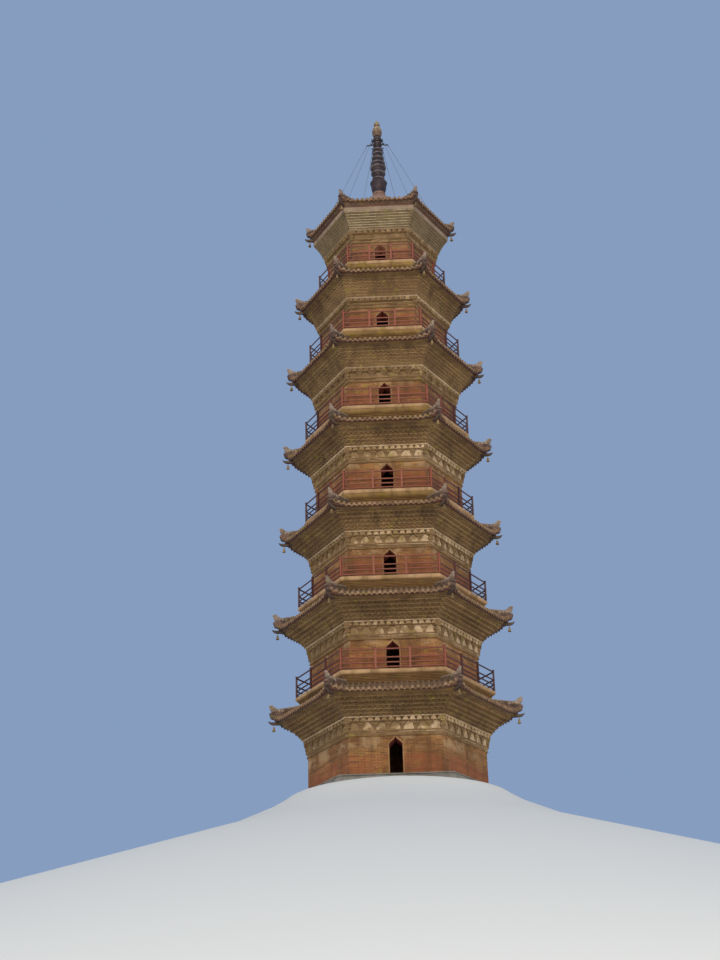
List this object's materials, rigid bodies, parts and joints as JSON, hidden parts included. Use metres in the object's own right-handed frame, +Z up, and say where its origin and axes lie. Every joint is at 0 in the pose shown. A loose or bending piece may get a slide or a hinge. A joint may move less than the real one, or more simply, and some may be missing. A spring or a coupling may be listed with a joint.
{
  "type": "hexagonal brick pagoda",
  "caption": "Tall hexagonal brick pagoda with tiled eaves on corbelled brick flares, railed balconies, small arched doorways and an iron ringed spire with stays.",
  "frame": {"origin": "centre of the plinth's underside, at ground level", "axes": "+Z up along the tower's axis, flat faces with doorways towards -Y (front) and +Y (back), corners along +X and -X"},
  "size_m": [12.4134, 10.8154, 39.87],
  "materials": {
    "brick": "matte",
    "moulded_brick": "matte",
    "plaster": "matte",
    "roof_tile": "matte",
    "red_wood": "satin",
    "iron": "satin",
    "gilt": "satin",
    "plinth_stone": "matte"
  },
  "bodies": {
    "root": {"plinth": "plinth_stone", "wall_1": "brick", "wall_2": "brick", "wall_3": "brick", "wall_4": "brick", "wall_5": "brick", "wall_6": "brick", "wall_7": "brick", "cornice_1": "moulded_brick", "cornice_2": "moulded_brick", "cornice_3": "moulded_brick", "cornice_4": "moulded_brick", "cornice_5": "moulded_brick", "cornice_6": "moulded_brick", "cornice_7": "moulded_brick", "eave_1": "roof_tile", "eave_2": "roof_tile", "eave_3": "roof_tile", "eave_4": "roof_tile", "eave_5": "roof_tile", "eave_6": "roof_tile", "top_roof": "roof_tile", "deck_2": "plaster", "deck_3": "plaster", "deck_4": "plaster", "deck_5": "plaster", "deck_6": "plaster", "deck_7": "plaster", "railing_2": "red_wood", "railing_3": "red_wood", "railing_4": "red_wood", "railing_5": "red_wood", "railing_6": "red_wood", "railing_7": "red_wood", "spire_base": "plaster", "spire_bowl": "iron", "spire_rings": "iron", "spire_crown": "iron", "finial": "gilt", "stay_1": "iron", "stay_2": "iron", "stay_3": "iron", "stay_4": "iron", "stay_5": "iron", "stay_6": "iron"}
  },
  "joints": []
}
